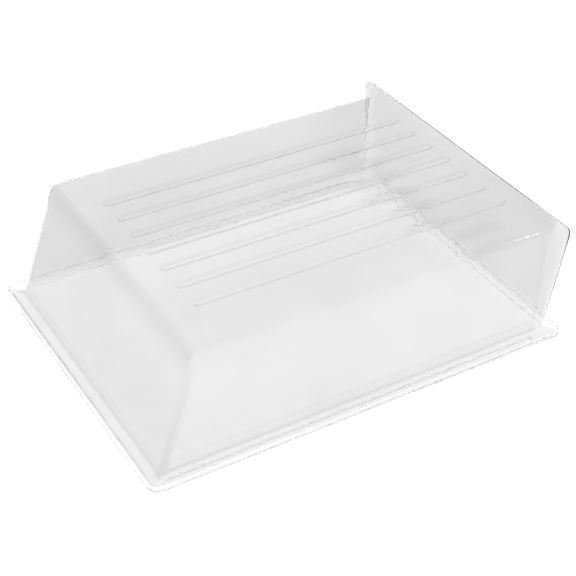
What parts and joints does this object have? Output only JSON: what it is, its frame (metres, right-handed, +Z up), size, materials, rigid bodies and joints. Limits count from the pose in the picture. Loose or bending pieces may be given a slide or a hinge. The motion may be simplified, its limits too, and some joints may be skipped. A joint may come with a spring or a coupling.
{
  "type": "humidity dome with drip tray",
  "caption": "Low clear humidity dome with a ribbed top, one sloped end and a flanged rim, standing on a shallow clear drip tray that it lifts off.",
  "frame": {"origin": "centre of the underside of the drip tray", "axes": "+Z up, X along the long side with the sloped front end towards -X, Y across"},
  "size_m": [0.425, 0.322, 0.124],
  "materials": {
    "clear_dome": "gloss",
    "clear_tray": "gloss"
  },
  "bodies": {
    "tray": {"tray_floor": "clear_tray", "tray_rim": "clear_tray"},
    "dome": {"dome_rim": "clear_dome", "right_rail": "clear_dome", "left_rail": "clear_dome", "front_wall": "clear_dome", "rear_wall": "clear_dome", "right_wall": "clear_dome", "left_wall": "clear_dome", "ribbed_top": "clear_dome", "rear_lip": "clear_dome"}
  },
  "joints": [
    {"name": "dome_lift", "type": "slide", "parent": "tray", "child": "dome", "axis": [0, 0, 1], "range_m": [0, 0.15]}
  ]
}
